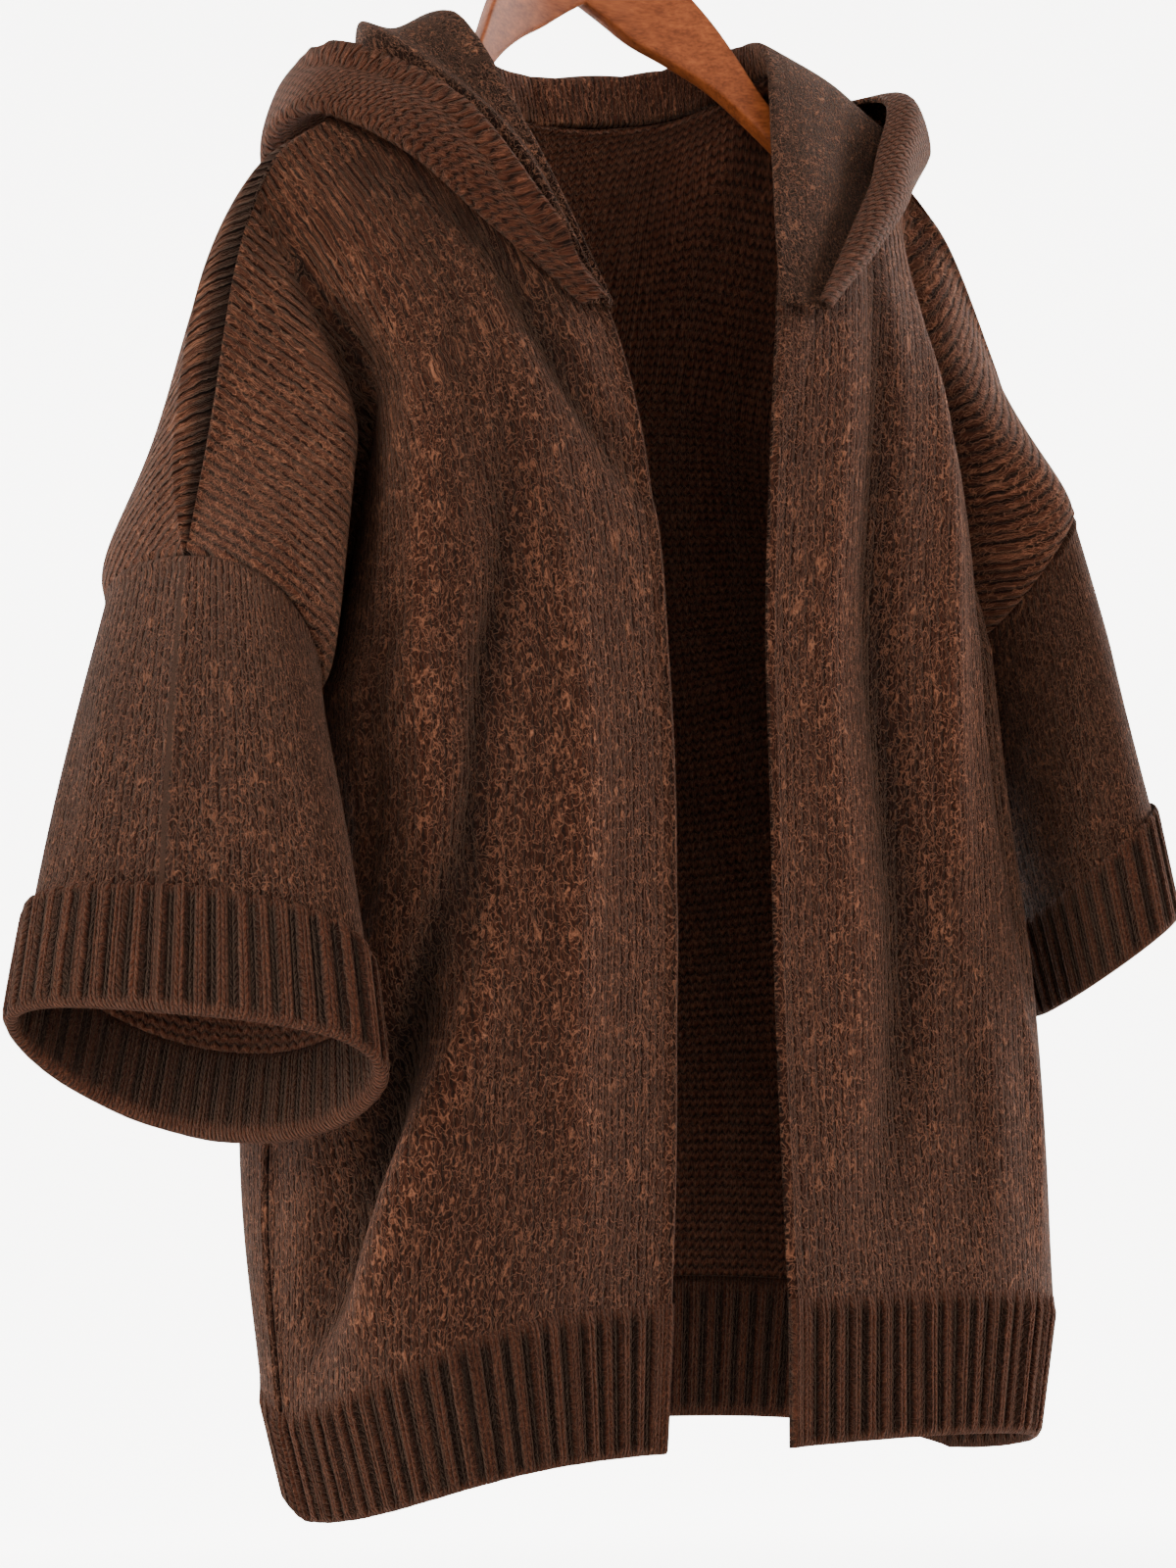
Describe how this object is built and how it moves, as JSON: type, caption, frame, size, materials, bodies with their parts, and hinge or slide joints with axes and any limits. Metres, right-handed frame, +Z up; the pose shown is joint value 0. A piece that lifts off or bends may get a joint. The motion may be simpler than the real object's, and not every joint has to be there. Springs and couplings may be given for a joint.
{
  "type": "hooded cardigan on a hanger",
  "caption": "Open-front hooded knit cardigan with drop shoulders, turned-up ribbed cuffs and a ribbed hem, filled out on a wooden hanger.",
  "frame": {"origin": "inside top of the hanger's hook, the point that a rail carries", "axes": "+Z up, the open front faces -Y, the wearer's left is at +X"},
  "size_m": [0.7097, 0.3138, 0.9231],
  "materials": {
    "knit": "brushed wool knit, chocolate brown",
    "wood": "glossy red-brown varnish",
    "steel": "polished wire"
  },
  "bodies": {
    "root": {"front_right": "knit", "hem_rib_right": "knit", "sleeve_right": "knit", "cuff_right": "knit", "hood_right": "knit", "front_left": "knit", "hem_rib_left": "knit", "sleeve_left": "knit", "cuff_left": "knit", "hood_left": "knit", "turned_edge_left": "knit", "back": "knit", "hem_rib_back": "knit", "hanger_body": "wood", "hanger_hook": "steel"}
  },
  "joints": []
}
